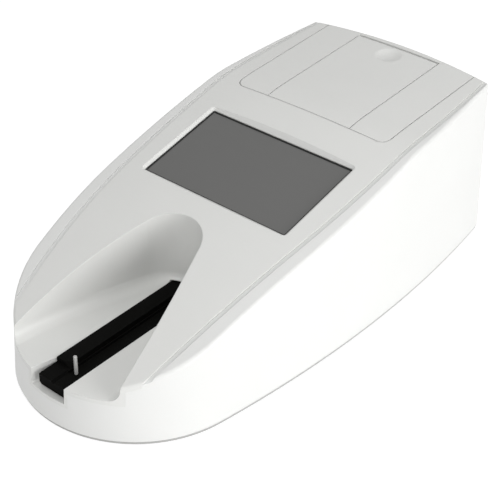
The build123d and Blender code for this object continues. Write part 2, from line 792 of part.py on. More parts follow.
drive_place = Pos(0, drive_y, drive_z)
rack_pinion = drive_place * toothed(rack_module, rack_pinion_teeth, pinion_face, axle_radius, 90)
gear_distance = wheel_module * (wheel_teeth + motor_teeth) / 2 + gear_play
motor_rise = motor_axis_z - drive_z
motor_y = drive_y - sqrt(gear_distance ** 2 - motor_rise ** 2)
motor_bearing = 180 - degrees(asin(motor_rise / gear_distance))
drive_wheel = toothed(wheel_module, wheel_teeth, gear_face, axle_radius, motor_bearing)
drive_wheel = drive_place * Pos(wheel_x) * drive_wheel
drive_axle = crosswise(axle_radius, wheel_x - gear_face / 2, guide_half + end_gap, drive_y, drive_z)
motor_place = Pos(wheel_x, motor_y, motor_axis_z)
motor_tooth_at = motor_bearing + 180 + 180 / motor_teeth
motor_pinion = toothed(wheel_module, motor_teeth, gear_face, motor_shaft_radius, motor_tooth_at)
motor_pinion = motor_place * motor_pinion
flange_x = wheel_x - gear_face / 2 - end_gap
motor_front_x = flange_x - motor_flange
shaft_end_x = motor_front_x - shaft_in_motor
bore_radius = motor_shaft_radius + bearing_play
motor_shaft = crosswise(motor_shaft_radius, shaft_end_x, wheel_x + gear_face / 2, motor_y, motor_axis_z)
shaft_bore = crosswise(bore_radius, shaft_end_x - slip, flange_x + 1, motor_y, motor_axis_z)
tray_motor = crosswise(motor_radius, motor_front_x - motor_length, motor_front_x, motor_y, motor_axis_z)
tray_motor = chamfer(tray_motor.edges(), motor_chamfer) - shaft_bore
bracket_top_z = motor_axis_z + motor_radius + 1
bracket_ends = (motor_y - motor_radius - 1, motor_y + motor_radius + 1)
motor_bracket = box(motor_front_x, flange_x, *bracket_ends, base_top_z, bracket_top_z)
motor_foot_x = motor_front_x - motor_foot
motor_bracket += box(motor_foot_x, flange_x, *bracket_ends, base_top_z, base_top_z + motor_flange)
motor_bracket -= shaft_bore
sensor_place = Pos(-guide_half - sensor_width / 2, guide_rear_y - 4 * guide_leg, guide_side_z + 2)
home_sensor = sensor_place * Pos(0, 0, -sensor_height / 2) * Box(sensor_width, sensor_length, sensor_height)
home_sensor -= sensor_place * Box(sensor_width / 2, 2 * sensor_length, sensor_height)

# ---- Optics ------------------------------------------------------------------------------------------
optic_low_z = bar_top_z + optic_lift
optic_in = optic_half_width - optic_wall
optic_plan = (-optic_half_width, optic_half_width, optic_front_y, optic_rear_y)
optical_housing = box(*optic_plan, optic_low_z, optic_top_z)
optic_room = (-optic_in, optic_in, optic_front_y + optic_wall, optic_rear_y - optic_wall)
optical_housing -= box(*optic_room, optic_low_z - 1, optic_shelf_z)
optical_housing -= box(*optic_room, optic_shelf_z + optic_wall, optic_top_z - optic_wall)
optic_y = (optic_front_y + optic_rear_y) / 2
lens_side = lens_radius - lens_wall
optical_housing -= upright(lens_side, strip_x, optic_y, optic_shelf_z - 1, optic_shelf_z + optic_wall + 1)
rail_z = optic_top_z - optic_wall - board_thick
for side in (-1, 1):
    rail = side * optic_in
    rail_plan = (rail - optic_wall, rail + optic_wall, *optic_room[2:])
    optical_housing += box(*rail_plan, rail_z - board_thick, rail_z)
    near = side * trough_half
    far = side * guide_half
    for leg_y in (optic_front_y, optic_rear_y - guide_leg):
        leg = (min(near, far), max(near, far), leg_y, leg_y + guide_leg)
        optical_housing += box(*leg, guide_side_z, optic_low_z + 1)
detector_side = optic_in - slip
detector_ends = (optic_room[2] + optic_wall, optic_room[3] - optic_wall)
detector_board = box(-detector_side, detector_side, *detector_ends, rail_z, rail_z + board_thick - slip)
lens_low_z = optic_shelf_z + optic_wall
lens_barrel = upright(lens_radius, strip_x, optic_y, lens_low_z, lens_low_z + lens_height)
lens_barrel -= upright(lens_side, strip_x, optic_y, lens_low_z - 1, lens_low_z + lens_height + 1)
lens = upright(lens_side, strip_x, optic_y, lens_low_z + lens_thick, lens_low_z + 2 * lens_thick)
lens = fillet(lens.edges(), 0.6)
lamp_x = -optic_in
lamp_span = (optic_room[2] + 3, optic_room[3] - 3, optic_low_z + 0.6, optic_shelf_z - 0.6)
lamp_face_x = lamp_x + lamp_height
lamp_board = box(lamp_x, lamp_face_x, *lamp_span)
lamp_low_z = optic_low_z + lamp_size + 1
lamp_pitch = (lamp_span[1] - lamp_span[0]) / lamp_count
lamps = []
for k in range(lamp_count):
    lamp_y = lamp_span[0] + (k + 0.5) * lamp_pitch - lamp_size / 2
    lamp_ends = (lamp_y, lamp_y + lamp_size)
    lamps.append(box(lamp_face_x, lamp_face_x + lamp_height, *lamp_ends, lamp_low_z, lamp_low_z + lamp_size))

# ---- Printer deck and lid ----------------------------------------------------------------------------
lid_front_y = deck_front_y + deck_seam
hinge_y = lid_front_y + hinge_back
hinge_z = top_height(hinge_y) - hinge_depth
lid_open_half = lid_half_width + lid_seam / 2
lid_side = lid_half_width - lid_seam / 2
rest_high = deck_plate + lid_rest_gap
rest_low = rest_high + lid_rest_height
deck_zone = prism(deck_plan(-deck_seam), base_low_z, top_reach) & soft_body
printer_cover = deck_zone & over(deck_plate)
printer_cover -= box(-lid_open_half, lid_open_half, deck_front_y - 5, lid_rear_y + paper_slot, 0, top_reach)
for side in (-1, 1):
    inner_x = side * (lid_open_half - lid_rest_width)
    edge_x = side * lid_open_half
    outer_x = side * (lid_open_half + lid_rest_width)
    rest_ends = (deck_front_y + 8, lid_rear_y)
    rest = box(min(inner_x, outer_x), max(inner_x, outer_x), *rest_ends, platform_z, top_reach)
    hanger = box(min(edge_x, outer_x), max(edge_x, outer_x), *rest_ends, platform_z, top_reach)
    printer_cover += layer(rest, rest_high, rest_low)
    printer_cover += layer(hanger, deck_plate / 2, rest_low)
swing_low_z = hinge_z - 4 * hinge_back
top_cover -= box(-lid_open_half, lid_open_half, lid_front_y, hinge_y + 3 * hinge_back, swing_low_z, top_reach)
paper_lid = layer(box(-lid_side, lid_side, lid_front_y, lid_rear_y, platform_z, top_reach), 0, deck_plate)
pin_tip_x = lid_half_width + lid_pin_length / 2
pin_end_x = lid_half_width - lid_pin_length / 2
lid_pins = []
for side in (-1, 1):
    low_x = min(side * pin_end_x, side * pin_tip_x)
    high_x = max(side * pin_end_x, side * pin_tip_x)
    lid_pins.append(crosswise(lid_pin_radius, low_x, high_x, hinge_y, hinge_z))
    paper_lid -= crosswise(lid_pin_radius, low_x, high_x, hinge_y, hinge_z)
    pin_bore = (low_x - bearing_play, high_x + bearing_play, hinge_y, hinge_z)
    printer_cover -= crosswise(lid_pin_radius + bearing_play, *pin_bore)
dimple_ball = (dimple_radius ** 2 + dimple_depth ** 2) / (2 * dimple_depth)
paper_lid -= Pos(0, dimple_y, top_height(dimple_y) + dimple_ball - dimple_depth) * Sphere(dimple_ball)
dimple_rim = []
for edge in paper_lid.edges():
    middle = edge.position_at(0.5)
    reach = sqrt(middle.X ** 2 + (middle.Y - dimple_y) ** 2)
    if 0.9 * dimple_radius < reach < 1.1 * dimple_radius and middle.Z > top_height(dimple_y) - deck_plate / 2:
        dimple_rim.append(edge)
paper_lid = fillet(dimple_rim, dimple_blend)
ear_low_x = platen_half_length + 2 * end_gap
ear_high_x = ear_low_x + ear_thick
neck_top_z = top_height(platen_y) - deck_plate / 2
for side in (-1, 1):
    low_x = min(side * ear_low_x, side * ear_high_x)
    high_x = max(side * ear_low_x, side * ear_high_x)
    paper_lid += crosswise(ear_radius, low_x, high_x, platen_y, platen_z)
    paper_lid += box(low_x, high_x, platen_y - ear_radius, platen_y + ear_radius, platen_z, neck_top_z)
ear_bore_radius = platen_shaft_radius + bearing_play
paper_lid -= crosswise(ear_bore_radius, -ear_high_x - 1, ear_high_x + 1, platen_y, platen_z)

# ---- Platen and its drive ----------------------------------------------------------------------------
gear_low_x = ear_high_x + end_gap
gear_high_x = gear_low_x + printer_gear_face
gear_middle_x = (gear_low_x + gear_high_x) / 2
platen_shaft = crosswise(platen_shaft_radius, -ear_high_x - end_gap, gear_high_x, platen_y, platen_z)
platen_roller = crosswise(platen_radius, -platen_half_length, platen_half_length, platen_y, platen_z)
platen_roller -= crosswise(platen_shaft_radius, -50, 50, platen_y, platen_z)
platen_place = Pos(gear_middle_x, platen_y, platen_z)
platen_gear = platen_place * toothed(
    printer_module, platen_teeth, printer_gear_face, platen_shaft_radius, printer_gear_angle
)
printer_distance = printer_module * (platen_teeth + printer_teeth) / 2 + gear_play
printer_axis_y = platen_y + printer_distance * cos(radians(printer_gear_angle))
printer_axis_z = platen_z + printer_distance * sin(radians(printer_gear_angle))
printer_place = Pos(gear_middle_x, printer_axis_y, printer_axis_z)
printer_tooth_at = printer_gear_angle + 180 + 180 / printer_teeth
printer_gear = printer_place * toothed(
    printer_module, printer_teeth, printer_gear_face, motor_shaft_radius, printer_tooth_at
)
plate_high_x = gear_low_x - end_gap
plate_low_x = plate_high_x - cheek_thick
shaft_end_x = plate_low_x - shaft_in_motor
printer_shaft = crosswise(motor_shaft_radius, shaft_end_x, gear_high_x, printer_axis_y, printer_axis_z)
printer_bore = crosswise(bore_radius, shaft_end_x - slip, gear_low_x, printer_axis_y, printer_axis_z)
printer_motor = crosswise(
    printer_motor_radius, plate_low_x - printer_motor_length, plate_low_x, printer_axis_y, printer_axis_z
)
printer_motor = chamfer(printer_motor.edges(), motor_chamfer) - printer_bore

# ---- Printer frame, thermal head, paper bucket and roll ----------------------------------------------
cheek_far = cheek_x + cheek_thick
sink_far = platen_radius + head_gap + head_thick + sink_thick
beam_y = platen_y + (sink_far + head_width / 2) * sqrt(0.5) + bearing_play
frame_rear_y = beam_y + cheek_thick
beam_top_z = platen_z - 2
frame_plan = (-cheek_far, cheek_far, frame_front_y, frame_rear_y)
printer_frame = box(*frame_plan, frame_floor_z, frame_floor_z + cheek_thick)
printer_frame += box(-cheek_far, cheek_far, beam_y, frame_rear_y, frame_floor_z, beam_top_z)
for side in (-1, 1):
    low_x = min(side * cheek_x, side * cheek_far)
    high_x = max(side * cheek_x, side * cheek_far)
    cheek = box(low_x, high_x, frame_front_y, frame_rear_y, frame_floor_z, top_reach)
    printer_frame += cheek - over(rest_low)
plate_ends = (printer_axis_y - printer_motor_radius, printer_axis_y + printer_motor_radius)
plate_top_z = printer_axis_z + printer_motor_radius
printer_frame += box(plate_low_x, plate_high_x, *plate_ends, frame_floor_z, plate_top_z)
printer_frame -= printer_bore
head_place = Pos(0, platen_y, platen_z) * Rot(-45, 0, 0)
head_near = platen_radius + head_gap
head_far = head_near + head_thick
head_half = platen_half_length - end_gap
head_side = head_width / 2
thermal_head = head_place * box(-head_half, head_half, head_near, head_far, -head_side, head_side)
head_sink = head_place * box(-head_half, head_half, head_far, sink_far, -head_side, head_side)


def bucket_form(inset):
    """Tub with a round bottom for the paper roll."""
    front = bucket_front_y + inset
    rear = bucket_rear_y - inset
    floor = bucket_floor_z + inset
    bend = bucket_corner - inset
    edges = [
        Edge.make_line(Vector(0, rear, top_reach), Vector(0, front, top_reach)),
        Edge.make_line(Vector(0, front, top_reach), Vector(0, front, floor + bend)),
        Edge.make_line(Vector(0, front, floor + bend), Vector(0, front + bend, floor)),
        Edge.make_line(Vector(0, front + bend, floor), Vector(0, rear - bend, floor)),
        Edge.make_line(Vector(0, rear - bend, floor), Vector(0, rear, floor + bend)),
        Edge.make_line(Vector(0, rear, floor + bend), Vector(0, rear, top_reach)),
    ]
    turn = bend * (1 - sqrt(0.5))
    edges[2] = Edge.make_three_point_arc(
        Vector(0, front, floor + bend), Vector(0, front + turn, floor + turn), Vector(0, front + bend, floor)
    )
    edges[4] = Edge.make_three_point_arc(
        Vector(0, rear - bend, floor), Vector(0, rear - turn, floor + turn), Vector(0, rear, floor + bend)
    )
    return extrude(Face(Wire(edges)), bucket_half_width - inset, dir=(1, 0, 0), both=True)


paper_bucket = bucket_form(0) - bucket_form(bucket_wall) - over(rest_low)
bucket_in = bucket_half_width - bucket_wall
roll_z = bucket_floor_z + bucket_wall + roll_radius + roll_lift
for side in (-1, 1):
    low_x = min(side * bucket_in, side * (bucket_in - spindle_stub))
    high_x = max(side * bucket_in, side * (bucket_in - spindle_stub))
    paper_bucket += crosswise(core_bore - spindle_play, low_x, high_x, roll_y, roll_z)
roll_core = crosswise(core_radius, -roll_half_length, roll_half_length, roll_y, roll_z)
roll_core -= crosswise(core_bore, -50, 50, roll_y, roll_z)
paper_roll = crosswise(roll_radius, -roll_half_length, roll_half_length, roll_y, roll_z)
paper_roll -= crosswise(core_radius, -50, 50, roll_y, roll_z)

# ---- Boards ------------------------------------------------------------------------------------------
board_top_z = board_z + board_thick
io_rear_y = panel_y - wall - 0.3


def board(low_x, high_x, low_y, high_y):
    """A circuit board with its four standoffs and screws."""
    plate = box(low_x, high_x, low_y, high_y, board_z, board_top_z)
    stands = []
    screws = []
    for x in (low_x + standoff_inset, high_x - standoff_inset):
        for y in (low_y + standoff_inset, high_y - standoff_inset):
            plate -= upright(screw_radius + screw_play, x, y, 0, board_top_z + 1)
            stand = upright(standoff_radius, x, y, base_top_z, board_z)
            stands.append(stand - upright(screw_radius + screw_play, x, y, base_top_z + 1, board_z + 1))
            shank = upright(screw_radius, x, y, base_top_z + 1.2, board_top_z)
            head = upright(screw_head_radius, x, y, board_top_z, board_top_z + screw_head_height)
            screws.append(shank + head)
    return plate, stands, screws


main_board, main_stands, main_screws = board(board_left_x, board_right_x, board_front_y, board_rear_y)
io_board, io_stands, io_screws = board(io_left_x, io_right_x, io_front_y, io_rear_y)
chips = []
for x, y, across, along, tall in chip_plan:
    centre = Pos(x, y, board_top_z + tall / 2)
    chips.append(centre * Box(across, along, tall))
capacitors = []
for x, y, radius, tall in capacitor_plan:
    can = upright(radius, x, y, board_top_z, board_top_z + tall)
    capacitors.append(fillet(can.edges().sort_by(Axis.Z)[-1], 0.6))


# ---- Rear sockets and switch -------------------------------------------------------------------------
def socket_block(middle_x, width, height, depth):
    """A socket body standing on the socket board, its face flush with the panel; cuts its own opening."""
    half = width / 2
    body = box(middle_x - half, middle_x + half, panel_y - depth, panel_y, board_top_z, board_top_z + height)
    hole = box(
        middle_x - half - socket_gap, middle_x + half + socket_gap, panel_y - wall - 1, panel_y + 1,
        board_top_z - socket_gap, board_top_z + height + socket_gap,
    )
    return body, hole


power_socket, hole = socket_block(jack_x, jack_width, jack_height, jack_depth)
side_shell -= hole
jack_z = board_top_z + jack_height / 2
power_socket -= lengthwise(jack_radius, jack_x, panel_y - 0.7 * jack_depth, panel_y + 1, jack_z)
power_socket += lengthwise(jack_pin_radius, jack_x, panel_y - 0.8 * jack_depth, panel_y - 1, jack_z)
serial_port, hole = socket_block(serial_x, serial_width, serial_height, serial_depth)
side_shell -= hole
serial_z = board_top_z + serial_height / 2
well_y = panel_y - serial_depth / 2
well_points = [
    (serial_half, serial_tall),
    (-serial_half, serial_tall),
    (serial_lean - serial_half, -serial_tall),
    (serial_half - serial_lean, -serial_tall),
]
well_wire = Wire.make_polygon([Vector(x, 0, z) for x, z in well_points], close=True)
serial_port -= Pos(serial_x, well_y, serial_z) * extrude(Face(well_wire), serial_depth, dir=(0, 1, 0))
for row_z, count in ((serial_z + serial_pitch / 2, 5), (serial_z - serial_pitch / 2, 4)):
    for k in range(count):
        pin_x = serial_x + serial_pitch * (k - (count - 1) / 2)
        serial_port += lengthwise(serial_pin_radius, pin_x, well_y - 1, panel_y - 1, row_z)
keyboard_port, hole = socket_block(keyboard_x, keyboard_width, keyboard_height, keyboard_width)
side_shell -= hole
keyboard_z = board_top_z + keyboard_height / 2
keyboard_floor_y = panel_y - keyboard_width / 2
keyboard_port -= lengthwise(keyboard_radius, keyboard_x, keyboard_floor_y, panel_y + 1, keyboard_z)
keyboard_key = Box(keyboard_radius / 2, keyboard_width / 2, keyboard_radius / 3)
keyboard_port += Pos(keyboard_x, keyboard_floor_y + 2, keyboard_z - keyboard_radius / 3) * keyboard_key

switch_half = switch_width / 2
switch_tall = switch_height / 2
switch_body = box(
    switch_x - switch_half, switch_x + switch_half, panel_y - switch_depth, panel_y,
    switch_z - switch_tall, switch_z + switch_tall,
)
side_shell -= box(
    switch_x - switch_half - socket_gap, switch_x + switch_half + socket_gap, panel_y - wall - 1, panel_y + 1,
    switch_z - switch_tall - socket_gap, switch_z + switch_tall + socket_gap,
)
switch_body += box(
    switch_x - switch_half - bezel_out, switch_x + switch_half + bezel_out, panel_y, panel_y + switch_bezel,
    switch_z - switch_tall - bezel_out, switch_z + switch_tall + bezel_out,
)
rocker_half = switch_half - 2.0
rocker_tall = switch_tall - 3.2
pivot_y = panel_y - rocker_pivot
room_half = rocker_half + rocker_play
room_tall = rocker_tall + 1.9
room_plan = (switch_x - room_half, switch_x + room_half, pivot_y - rocker_pivot, rear_y)
switch_body -= box(*room_plan, switch_z - room_tall, switch_z + room_tall)
trunnion_end = room_half + 1.0
trunnion_bore = (switch_x - trunnion_end - bearing_play, switch_x + trunnion_end + bearing_play)
switch_body -= crosswise(1.0 + bearing_play, *trunnion_bore, pivot_y, switch_z)
rocker_points = [(-2.5, -3.5), (7.6, -rocker_tall), (6.6, 0), (7.6, rocker_tall), (-2.5, 3.5)]
rocker_face = Face(Wire.make_polygon([Vector(0, y, z) for y, z in rocker_points], close=True))
rocker_block = extrude(rocker_face, rocker_half, dir=(1, 0, 0), both=True)
rocker_block += crosswise(1.0, -trunnion_end, trunnion_end, 0, 0)
power_rocker = Pos(switch_x, pivot_y, switch_z) * Rot(rocker_angle, 0, 0) * rocker_block

# ---- Nodes -------------------------------------------------------------------------------------------
nodes = {
    "side_shell": [side_shell],
    "top_cover": [top_cover],
    "base_plate": [base_plate],
    "rubber_feet": feet,
    "base_screws": base_screws,
    "display_gasket": [display_gasket],
    "touch_screen": [touch_screen],
    "display_module": [display_module],
    "display_bracket": [display_bracket],
    "display_screws": display_screws,
    "strip_tray": [tray],
    "strip_stop_pin": [stop_pin],
    "reference_pad": [reference_pad],
    "tray_rack": [tray_rack],
    "tray_guide": [tray_guide],
    "rack_pinion": [rack_pinion],
    "drive_wheel": [drive_wheel],
    "drive_axle": [drive_axle],
    "motor_pinion": [motor_pinion],
    "motor_shaft": [motor_shaft],
    "tray_motor": [tray_motor],
    "motor_bracket": [motor_bracket],
    "home_sensor": [home_sensor],
    "optical_housing": [optical_housing],
    "detector_board": [detector_board],
    "lens_barrel": [lens_barrel],
    "lens": [lens],
    "lamp_board": [lamp_board],
    "lamps": lamps,
    "printer_cover": [printer_cover],
    "paper_lid": [paper_lid],
    "lid_pins": lid_pins,
    "platen_shaft": [platen_shaft],
    "platen_roller": [platen_roller],
    "platen_gear": [platen_gear],
    "printer_gear": [printer_gear],
    "printer_shaft": [printer_shaft],
    "printer_motor": [printer_motor],
    "printer_frame": [printer_frame],
    "thermal_head": [thermal_head],
    "head_sink": [head_sink],
    "paper_bucket": [paper_bucket],
    "roll_core": [roll_core],
    "paper_roll": [paper_roll],
    "main_board": [main_board],
    "socket_board": [io_board],
    "board_standoffs": main_stands + io_stands,
    "board_screws": main_screws + io_screws,
    "board_chips": chips,
    "board_capacitors": capacitors,
    "power_socket": [power_socket],
    "serial_port": [serial_port],
    "keyboard_port": [keyboard_port],
    "switch_body": [switch_body],
    "power_rocker": [power_rocker],
}
for name, pieces in nodes.items():
    solids = [solid for piece in pieces for solid in piece.solids()]
    shape = solids[0] if len(solids) == 1 else Compound(children=solids)
    shape.label = name
    export_step(shape, "parts/" + name + ".step")
print("hinge", round(hinge_y, 3), round(hinge_z, 3))
print("drive", round(drive_y, 3), round(drive_z, 3), "motor", round(motor_y, 3), round(motor_axis_z, 3))
print("printer axis", round(printer_axis_y, 3), round(printer_axis_z, 3), "roll", roll_y, round(roll_z, 3))
print("rocker", switch_x, round(pivot_y, 3), switch_z)
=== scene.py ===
"""Table-top urine test-strip analyzer: its finishes, inner details, stage, light and camera."""
from math import cos, pi, radians, sin

import bpy
import numpy as np
from mathutils import Matrix, Vector


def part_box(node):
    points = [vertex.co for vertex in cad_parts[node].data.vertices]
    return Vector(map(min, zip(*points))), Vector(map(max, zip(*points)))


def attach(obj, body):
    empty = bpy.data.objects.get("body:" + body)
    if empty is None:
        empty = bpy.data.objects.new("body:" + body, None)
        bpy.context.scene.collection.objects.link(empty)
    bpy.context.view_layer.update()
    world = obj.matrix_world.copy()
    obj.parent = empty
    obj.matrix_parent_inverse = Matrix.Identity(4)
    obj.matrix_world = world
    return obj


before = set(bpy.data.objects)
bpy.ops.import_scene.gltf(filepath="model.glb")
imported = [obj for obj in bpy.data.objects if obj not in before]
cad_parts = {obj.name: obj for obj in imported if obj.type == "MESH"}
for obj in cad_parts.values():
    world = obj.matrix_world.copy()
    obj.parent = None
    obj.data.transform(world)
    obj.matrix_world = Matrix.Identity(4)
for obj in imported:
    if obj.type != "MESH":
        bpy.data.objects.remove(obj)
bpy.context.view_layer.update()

bl_info = {
    "name": "Urine Analyzer",
    "version": (1, 0, 0),
    "blender": (4, 5, 0),
    "location": "3D View > Sidebar > Analyzer",
    "description": "Dresses the packed analyzer with its finishes, paper, stage and camera",
    "category": "Object",
}

MM = 0.001

# ---- Satin plastic where nothing else is asked ---------------------------------------------------------
SATIN = 0.42
GRAIN = 0.35 * MM
GRAIN_DEPTH = 0.012 * MM
SOFT_EDGE = 0.3 * MM
SHEEN = 0.5
FADE_LENGTH = 10.0 * MM         # over which the soft edge grows behind the tight nose
TIGHT_SHARE = 0.2               # of the soft edge that the tight nose keeps
BEVEL_SAMPLES = 6

# ---- Colours shared by several pieces ------------------------------------------------------------------
PAPER_WHITE = (0.88, 0.88, 0.86)
PAD_GOLD = (0.70, 0.58, 0.30)
MASK_GREEN = (0.008, 0.075, 0.030)
MASK_WHITE = (0.60, 0.60, 0.58)
LAMP_CREAM = (0.88, 0.84, 0.62)
CERAMIC_TAN = (0.50, 0.47, 0.42)
FEET_BLACK = (0.02, 0.02, 0.02)
PLATEN_BLACK = (0.02, 0.02, 0.022)
LENS_TINT = (0.90, 0.95, 0.97)
CLEAR = (1.0, 1.0, 1.0)

# ---- Circuit boards ------------------------------------------------------------------------------------
BLOCKS_PER_METRE = 140.0
TRACK_WAVES = 2600.0            # radians per metre across the tracks
TRACK_SLANT = 0.35
TRACK_WANDER = 0.02             # metres that noise bends a track
PAD_PITCH = 2.6 * MM

# ---- Way of the paper, in the YZ plane: angles from +Y towards +Z --------------------------------------
ROLL_START = radians(140)       # still wound on the roll
ROLL_LEAVE = radians(95.6)
PLATEN_MEET = radians(-114)
PLATEN_LEAVE = radians(-24)
GUIDE_BEND = ((-0.9 * MM, -0.05 * MM), (0.0, 0.0), (0.9 * MM, -0.35 * MM))
END_BEHIND_LID = 0.75 * MM
RISE_BEND = (0.45, 0.62)        # shares of the last run and rise still to go at its bend

# ---- Stage ---------------------------------------------------------------------------------------------
SENSOR_WIDTH = 36.0
LAMP_SIZE = 0.9
FRONT_LAMP = (0.3, -0.9, 0.9)
RIGHT_LAMP = (1.28, 0.02, 0.34)
TOP_LAMP = (-0.25, 0.35, 1.2)
FLOOR_HALF = 4.0
FLOOR_MOTTLE = 0.12
FLOOR_WHITE = 1.25              # strength of the white that the camera sees
FLOOR_WHITE_SHARE = 0.70        # of the floor's look; the rest is lit paper, which keeps the shadow


# ---- Sizes and colours a user may change ---------------------------------------------------------------
def colour_property(name, description, default):
    return bpy.props.FloatVectorProperty(
        name=name, description=description, subtype="COLOR", size=3, min=0.0, max=1.0, default=default
    )


def length_property(name, description, default):
    return bpy.props.FloatProperty(
        name=name, description=description, unit="LENGTH", subtype="DISTANCE",
        min=0.0, precision=5, default=default,
    )


def angle_property(name, description, degrees):
    return bpy.props.FloatProperty(
        name=name, description=description, subtype="ANGLE", default=radians(degrees)
    )


def share_property(name, description, default):
    return bpy.props.FloatProperty(
        name=name, description=description, subtype="FACTOR", min=0.0, max=1.0, default=default
    )


def level_property(name, description, default):
    return bpy.props.FloatProperty(
        name=name, description=description, min=0.0, max=4.0, default=default
    )


class HousingFinish(bpy.types.PropertyGroup):
    # Painted light: the shell is the covers' plastic made lighter, so the side wall turned to the right lamp
    # comes out near white.
    lit_shell_colour: colour_property("Shell", "Side shell plastic", (0.735, 0.738, 0.725))
    cover_colour: colour_property("Covers", "Top cover, printer cover and lid", (0.705, 0.708, 0.690))
    # Painted shade: the base plate is set darker than the shell to stand for the shade under the shell's
    # edge.
    shaded_base_colour: colour_property("Base", "Base plate plastic", (0.40, 0.40, 0.39))
    roughness: share_property("Roughness", "Roughness of the satin plastic", SATIN)
    grain: length_property("Grain", "Size of the moulded grain", GRAIN)
    grain_depth: length_property("Grain depth", "Height of the moulded grain", GRAIN_DEPTH)
    edge_radius: length_property("Edge radius", "Soft radius of the moulded edges", 0.8 * MM)
    tight_length: length_property("Tight length", "Nose length whose seam is shut tight", 28.0 * MM)


class ScreenFinish(bpy.types.PropertyGroup):
    glass_colour: colour_property("Glass", "Touch glass with the display off", (0.094, 0.094, 0.091))
    frame_colour: colour_property("Gasket", "Foam gasket round the glass", (0.006, 0.006, 0.006))
    roughness: share_property("Roughness", "Roughness of the anti-glare glass", 0.34)


class TrayFinish(bpy.types.PropertyGroup):
    tray_colour: colour_property("Tray", "Black tray plastic", (0.0040, 0.0040, 0.0037))
    pin_colour: colour_property("Pin", "Stop pin", (0.42, 0.42, 0.41))
    pad_colour: colour_property("Pad", "Reference pad", (0.86, 0.86, 0.84))


class PaperSizes(bpy.types.PropertyGroup):
    thickness: length_property("Thickness", "Paper thickness", 0.08 * MM)
    width: length_property("Width", "Paper width", 49.0 * MM)
    guide_gap: length_property("Guide gap", "Paper over the bucket's rear edge", 0.6 * MM)
    end_depth: length_property("End depth", "Paper's cut end under the lid's top", 5.5 * MM)


class StageSetting(bpy.types.PropertyGroup):
    lens: bpy.props.FloatProperty(name="Lens", description="Focal length in millimetres", default=92.31)
    azimuth: angle_property("Azimuth", "Camera azimuth from the front", 38.95)
    elevation: angle_property("Elevation", "Camera elevation", 35.05)
    roll: angle_property("Roll", "Camera roll", 1.30)
    distance: length_property("Distance", "Camera distance", 671.62 * MM)
    target: bpy.props.FloatVectorProperty(
        name="Target", description="Point the camera looks at", subtype="TRANSLATION", size=3,
        default=(18.92 * MM, -17.1 * MM, 45.0 * MM),
    )
    world_level: share_property("World", "Radiance of the surroundings", 0.46)
    front_level: level_property("Front lamp", "Level of the lamp over the nose", 0.33)
    right_level: level_property("Right lamp", "Level of the low lamp on the right", 0.79)
    top_level: level_property("Top lamp", "Level of the lamp over the lid", 0.17)
    floor_colour: colour_property("Floor", "Pale floor", (0.86, 0.86, 0.86))


# ---- Shader maths as expressions -------------------------------------------------------------------------
class Port:
    """An output socket that takes part in arithmetic; each operator adds its Math node."""

    def __init__(self, finish, socket):
        self.finish = finish
        self.socket = socket

    def math(self, operation, first, second=0.0):
        return self.finish.node("ShaderNodeMath", {"operation": operation}, {0: first, 1: second})

    def __add__(self, other):
        return self.math("ADD", self, other)

    def __radd__(self, other):
        return self.math("ADD", other, self)

    def __sub__(self, other):
        return self.math("SUBTRACT", self, other)

    def __rsub__(self, other):
        return self.math("SUBTRACT", other, self)

    def __mul__(self, other):
        return self.math("MULTIPLY", self, other)

    def __rmul__(self, other):
        return self.math("MULTIPLY", other, self)

    def __truediv__(self, other):
        return self.math("DIVIDE", self, other)

    def __pow__(self, other):
        return self.math("POWER", self, other)

    def over(self, limit):
        return self.math("GREATER_THAN", self, limit)

    def least(self, other):
        return self.math("MINIMUM", self, other)

    def most(self, other):
        return self.math("MAXIMUM", self, other)


class Finish:
    """A material being made. Every node comes from node(), and surface() closes it."""

    def __init__(self, name, world=None):
        self.material = world or bpy.data.materials.new(name)
        self.material.use_nodes = True
        self.tree = self.material.node_tree
        self.tree.nodes.clear()
        if not world:
            self.place = self.node("ShaderNodeTexCoord", out="Object")

    def node(self, kind, settings=None, values=None, out=0):
        """Adds a node, applies its settings, then its values or links, and gives one output."""
        node = self.tree.nodes.new(kind)
        for key, value in (settings or {}).items():
            setattr(node, key, value)
        for key, value in (values or {}).items():
            if isinstance(value, Port):
                self.tree.links.new(value.socket, node.inputs[key])
            else:
                node.inputs[key].default_value = value
        return Port(self, node.outputs[out]) if node.outputs else node

    def noise(self, size, detail=2.0, where=None):
        """Noise with features of the given size, between 0 and 1."""
        values = {"Vector": where or self.place, "Scale": 1.0 / size, "Detail": detail}
        return self.node("ShaderNodeTexNoise", {}, values)

    def cells(self, scale, distance="EUCLIDEAN"):
        """Distance to the nearest of scattered points, in cell sizes, with scale cells to the metre."""
        values = {"Vector": self.place, "Scale": scale}
        return self.node("ShaderNodeTexVoronoi", {"distance": distance}, values, "Distance")

    def stretched(self, scale):
        """Object coordinates with each axis scaled."""
        return self.node("ShaderNodeMapping", {}, {"Vector": self.place, "Scale": scale})

    def axis(self, name):
        """One coordinate of the place on the object, in metres."""
        return self.node("ShaderNodeSeparateXYZ", {}, {0: self.place}, name)

    def tint(self, first, second, share):
        """A colour between two, by a share from 0 to 1."""
        values = {0: share, 6: rgba(first), 7: rgba(second)}
        return self.node("ShaderNodeMix", {"data_type": "RGBA"}, values, 2)

    def surface(self, colour, roughness, metallic=0.0, height=None, depth=0.0, edge=0.0, constants=None):
        """Closes the material. Colour, roughness and metallic may be links.

        The height and the soft edge make the normal.
        """
        values = {"Base Color": rgba(colour), "Roughness": roughness, "Metallic": metallic}
        values.update(constants or {})
        normal = None
        if edge:
            normal = self.node("ShaderNodeBevel", {"samples": BEVEL_SAMPLES}, {"Radius": edge})
        if height is not None:
            bump = {"Height": height, "Distance": depth, "Strength": 1.0}
            if normal:
                bump["Normal"] = normal
            normal = self.node("ShaderNodeBump", {}, bump)
        if normal:
            values["Normal"] = normal
        shader = self.node("ShaderNodeBsdfPrincipled", {}, values)
        self.node("ShaderNodeOutputMaterial", {}, {"Surface": shader})
        return self.material


